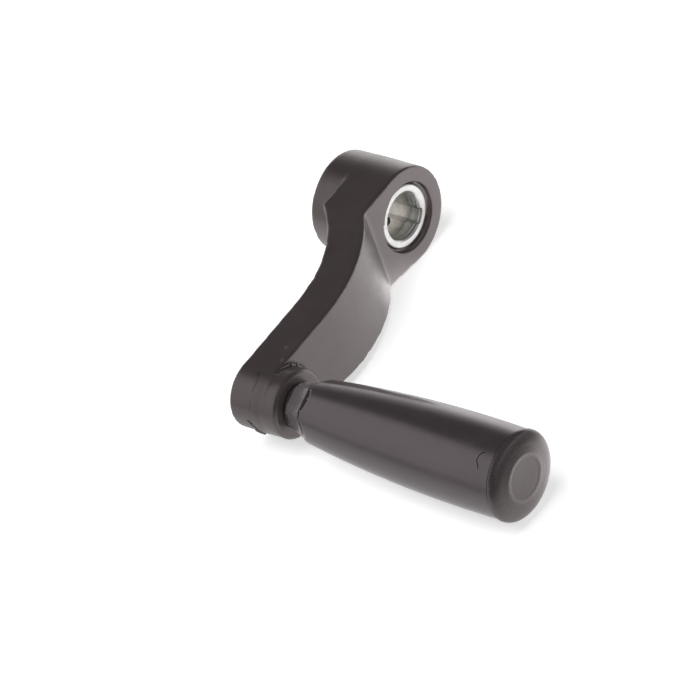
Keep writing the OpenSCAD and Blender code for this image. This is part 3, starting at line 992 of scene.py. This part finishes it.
def make_cap():
    """The cap as its profile turned about the grip axis, with a point in the middle of each end."""
    profile = cap_profile()
    rings = []
    for radius, height in profile[1:-1]:
        rings.append([about_grip(radius, 2 * math.pi * k / CAP_TURNS, GRIP_LEN + height)
                      for k in range(CAP_TURNS)])
    verts, faces = loft(rings, closed=False)
    for row, (radius, height) in ((0, profile[0]), (len(rings) - 1, profile[-1])):
        verts.append(about_grip(0, 0, GRIP_LEN + height))
        middle = len(verts) - 1
        for k in range(CAP_TURNS):
            faces.append((middle, row * CAP_TURNS + k, row * CAP_TURNS + (k + 1) % CAP_TURNS))
    mesh = outward_mesh("cap_round", verts, faces)
    place_piece("cap_moulding", mesh, cap_plastic, "turning_grip", ["end_cap"])


make_arm()
make_flash()
make_bush()
make_grip()
make_grip_marks()
make_cap()
# The pieces that stay as the construction made them
for node, material in (("set_screw", black_steel), ("threaded_insert", insert_brass),
                       ("axle_screw", zinc_steel), ("axle_washer", zinc_steel)):
    frame["nodes"][node].data.materials.clear()
    frame["nodes"][node].data.materials.append(material)


# Floor, lamps, world and camera

FLOOR_R = 4
FLOOR_COLOUR = (0.8, 0.8, 0.8, 1)
# Added to the floor where the camera sees it, so that it shows white
FLOOR_WHITE = 0.5
# Where the mirrored floor's glow starts and ends along X and Y, and its strength there
FLOOR_SLOPES = {"X": (-0.15, 0.06, 0.40, 1.6), "Y": (-0.142, -0.112, 0.15, 1.0)}
# Painted light and shade in it: a bright patch beside the hub, a painted shadow under the arm and a bright
# patch beside the cap; place, reach and how much is added
FLOOR_PATCHES = [
    ((-0.011, -0.017, 0), 15 * MM, 1.2),
    ((-0.034, -0.016, 0), 22 * MM, -0.45),
    ((-0.042, -0.112, 0), 26 * MM, 0.9),
]


def floor_glow(tree):
    """How bright the floor looks in a reflection: brighter towards +X, dim in front."""
    split = tree.nodes.new("ShaderNodeSeparateXYZ")
    tree.links.new(object_place(tree), split.inputs[0])
    slopes = [linear(tree, split.outputs[axis], *FLOOR_SLOPES[axis]) for axis in "XY"]
    level = math_node(tree, "MULTIPLY", *slopes)
    for place, reach, amount in FLOOR_PATCHES:
        patch = math_node(tree, "MULTIPLY", near_point(tree, place, reach), amount)
        level = math_node(tree, "ADD", level, patch)
    return level


def make_floor():
    """A pale floor that shows white to the camera, keeps the shadow, and glows unevenly in reflections."""
    bm = bmesh.new()
    bmesh.ops.create_circle(bm, cap_ends=True, segments=96, radius=FLOOR_R)
    mesh = bpy.data.meshes.new("floor")
    bm.to_mesh(mesh)
    bm.free()
    floor = bpy.data.objects.new("floor", mesh)
    floor.location = (0, 0, cad_low.z)
    bpy.context.scene.collection.objects.link(floor)
    material = bpy.data.materials.new("pale_floor")
    material.use_nodes = True
    tree = material.node_tree
    tree.nodes.clear()
    out = tree.nodes.new("ShaderNodeOutputMaterial")
    path = tree.nodes.new("ShaderNodeLightPath")
    diffuse = tree.nodes.new("ShaderNodeBsdfDiffuse")
    diffuse.inputs["Color"].default_value = FLOOR_COLOUR
    white = tree.nodes.new("ShaderNodeEmission")
    seen = math_node(tree, "MAXIMUM", path.outputs["Is Camera Ray"], path.outputs["Is Transmission Ray"])
    tree.links.new(math_node(tree, "MULTIPLY", seen, FLOOR_WHITE), white.inputs["Strength"])
    add = tree.nodes.new("ShaderNodeAddShader")
    tree.links.new(diffuse.outputs[0], add.inputs[0])
    tree.links.new(white.outputs[0], add.inputs[1])
    glow = tree.nodes.new("ShaderNodeEmission")
    tree.links.new(floor_glow(tree), glow.inputs["Strength"])
    mix = tree.nodes.new("ShaderNodeMixShader")
    tree.links.new(path.outputs["Is Glossy Ray"], mix.inputs[0])
    tree.links.new(add.outputs[0], mix.inputs[1])
    tree.links.new(glow.outputs[0], mix.inputs[2])
    tree.links.new(mix.outputs[0], out.inputs["Surface"])
    mesh.materials.append(material)


# Strength of the studio's dark walls, of the soft screen, of the pale horizon and of its right end
WALL_GLOW = 0.06
SCREEN_GLOW = 0.62
HORIZON_GLOW = 0.48
RIGHT_GLOW = 1.15
# The screen's right edge leans: the y where it crosses x = 0, and how far it moves along x with y
SCREEN_EDGE_AT = 0.62
SCREEN_EDGE_LEAN = 1.1


def make_world():
    """A dark studio with a soft screen behind on the left and a pale horizon.

    The horizon is brighter behind on the right, and left out in front on the left. Each fade's numbers
    are the parts x, y or z of a direction, where it starts and where it is full.
    """
    world = bpy.data.worlds.new("studio")
    world.use_nodes = True
    tree = world.node_tree
    split = tree.nodes.new("ShaderNodeSeparateXYZ")
    tree.links.new(tree.nodes.new("ShaderNodeTexCoord").outputs["Generated"], split.inputs[0])
    x, y, z = (split.outputs[axis] for axis in "XYZ")
    behind = fade(tree, y, 0.1, 0.4)
    edge = math_node(tree, "MULTIPLY", math_node(tree, "SUBTRACT", y, SCREEN_EDGE_AT), SCREEN_EDGE_LEAN)
    across = math_node(tree, "SUBTRACT", x, edge)
    screen = math_node(tree, "MULTIPLY", fade(tree, across, 0.10, -0.22), behind)
    screen = math_node(tree, "MULTIPLY", screen, fade(tree, z, -0.05, 0.32))
    right = math_node(tree, "MULTIPLY", fade(tree, x, 0.2, 0.7), behind)
    front_left = math_node(tree, "MULTIPLY", fade(tree, y, -0.2, -0.5), fade(tree, x, 0.1, -0.3))
    horizon = math_node(tree, "MULTIPLY", fade(tree, z, 0.25, 0.04), HORIZON_GLOW)
    horizon = math_node(tree, "MULTIPLY", horizon, math_node(tree, "SUBTRACT", 1.0, front_left))
    right = math_node(tree, "MULTIPLY", fade(tree, z, 0.55, 0.0), right)
    right = math_node(tree, "MULTIPLY", right, RIGHT_GLOW)
    level = math_node(tree, "ADD", math_node(tree, "MULTIPLY", screen, SCREEN_GLOW), horizon)
    level = math_node(tree, "ADD", math_node(tree, "ADD", level, right), WALL_GLOW)
    colour = mix_colour(tree, 1.0, grey(1.0), level, "MULTIPLY")
    tree.links.new(colour, tree.nodes["Background"].inputs["Color"])
    bpy.context.scene.world = world


def add_lamp(name, place, aim, width, height, power):
    """A soft lamp that lights the object but isn't mirrored in it."""
    data = bpy.data.lights.new(name, "AREA")
    data.shape = "RECTANGLE"
    data.size, data.size_y = width, height
    data.energy = power
    lamp = bpy.data.objects.new(name, data)
    lamp.location = place
    lamp.rotation_mode = "QUATERNION"
    lamp.rotation_quaternion = (Vector(aim) - Vector(place)).to_track_quat("-Z", "Y")
    lamp.visible_glossy = False
    bpy.context.scene.collection.objects.link(lamp)


# The point that the lamps face, and each lamp's name, place, width, height and power
LAMP_AIM = (0, -0.05, 0)
LAMPS = [
    ("overhead_left", (-0.5, 0.0, 1.3), LAMP_AIM, 1.0, 1.0, 15.0),
    ("front_low", (-0.15, -1.4, 0.72), LAMP_AIM, 2.6, 1.3, 11.0),
    ("right_side", (1.2, -0.1, 0.5), LAMP_AIM, 0.6, 0.6, 3.0),
]

# The photo's viewpoint: its place, the direction to the right and the direction up
CAMERA_PLACE = (-0.648853, -0.797767, 0.771540)
CAMERA_RIGHT = Vector((0.594365, -0.754431, -0.278504))
CAMERA_UP = Vector((0.640543, 0.234723, 0.731170))
# Focal length and width of the photo in pixels, and the sensor's width in mm
FOCAL_PIXELS = 5000
PHOTO_PIXELS = 700
SENSOR = 36.0


def make_camera():
    data = bpy.data.cameras.new("camera")
    data.sensor_width = SENSOR
    data.lens = SENSOR * FOCAL_PIXELS / PHOTO_PIXELS
    data.clip_start, data.clip_end = 0.1, 20
    camera = bpy.data.objects.new("camera", data)
    back = CAMERA_RIGHT.cross(CAMERA_UP)
    turn = Matrix((CAMERA_RIGHT, CAMERA_UP, back)).transposed()
    camera.matrix_world = Matrix.Translation(CAMERA_PLACE) @ turn.to_4x4()
    bpy.context.scene.collection.objects.link(camera)
    bpy.context.scene.camera = camera


make_floor()
make_world()
for lamp in LAMPS:
    add_lamp(*lamp)
make_camera()
bpy.context.scene.view_settings.view_transform = "Standard"
